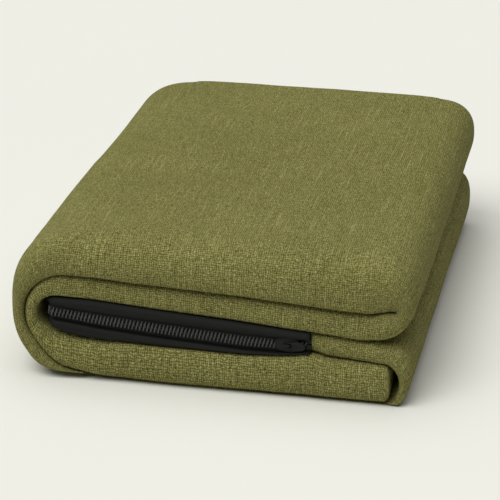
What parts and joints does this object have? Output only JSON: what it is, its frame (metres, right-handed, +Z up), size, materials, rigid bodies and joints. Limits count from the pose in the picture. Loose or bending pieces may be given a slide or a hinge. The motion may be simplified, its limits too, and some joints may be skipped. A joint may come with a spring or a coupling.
{
  "type": "infrared sauna blanket",
  "caption": "Padded, zipped heating blanket with a woven cover, folded into a flat package for storage, with a power inlet at its side edge.",
  "frame": {"origin": "centre of the underside of the folded package", "axes": "+X towards the right folds, +Y from the side edge with the zip slider to the far side edge, along the folds, +Z up"},
  "size_m": [0.4, 0.5, 0.15],
  "materials": {
    "cover_cloth": "olive green slub weave, matt",
    "wadding": "white polyester wadding",
    "foil": "thin reflective foil",
    "carrier_cloth": "non-woven cloth",
    "heating_wire": "carbon heating wire in a silicone sleeve",
    "lining": "black coated wipe-clean cloth",
    "zip_fabric": "black woven tape and facing",
    "zip_coil": "dark grey nylon coil",
    "zip_metal": "satin black enamel on die-cast metal",
    "black_plastic": "moulded black plastic",
    "lead_sheath": "black sheath",
    "brass": "plain brass"
  },
  "bodies": {
    "blanket": {"cover_a": "cover_cloth", "wadding_a": "wadding", "foil_a": "foil", "wire_carrier_a": "carrier_cloth", "heating_wire_a": "heating_wire", "lining_a": "lining", "thermal_cutout_a": "black_plastic", "temperature_sensor_a": "black_plastic", "supply_lead_a": "lead_sheath", "cover_b": "cover_cloth", "wadding_b": "wadding", "foil_b": "foil", "wire_carrier_b": "carrier_cloth", "heating_wire_b": "heating_wire", "lining_b": "lining", "thermal_cutout_b": "black_plastic", "temperature_sensor_b": "black_plastic", "supply_lead_b": "lead_sheath", "edge_band_front": "cover_cloth", "edge_band_back": "cover_cloth", "edge_band_foot": "cover_cloth", "inlet_housing": "black_plastic", "inlet_contact_carrier": "black_plastic", "inlet_pin_1": "brass", "inlet_pin_2": "brass", "inlet_pin_3": "brass", "zip_tape_upper": "zip_fabric", "zip_coil_upper": "zip_coil", "zip_facing_front_upper": "zip_fabric", "zip_facing_back_upper": "zip_fabric", "zip_end_stop_upper": "zip_metal", "zip_tape_lower": "zip_fabric", "zip_coil_lower": "zip_coil", "zip_facing_front_lower": "zip_fabric", "zip_facing_back_lower": "zip_fabric", "zip_end_stop_lower": "zip_metal", "zip_start_stop": "zip_metal"},
    "zip_slider": {"zip_slider": "zip_metal"},
    "zip_pull": {"zip_pull": "zip_metal"}
  },
  "joints": [
    {"name": "zip_slide", "type": "slide", "parent": "blanket", "child": "zip_slider", "axis": [-0.9985, 0, 0.0546], "range_m": [0, 0.2159]},
    {"name": "zip_pull_hinge", "type": "hinge", "parent": "zip_slider", "child": "zip_pull", "pos_m": [0.077, -0.24425, 0.05945], "axis": [-0.0546, 0, -0.9985], "range_deg": [0, 180]}
  ]
}
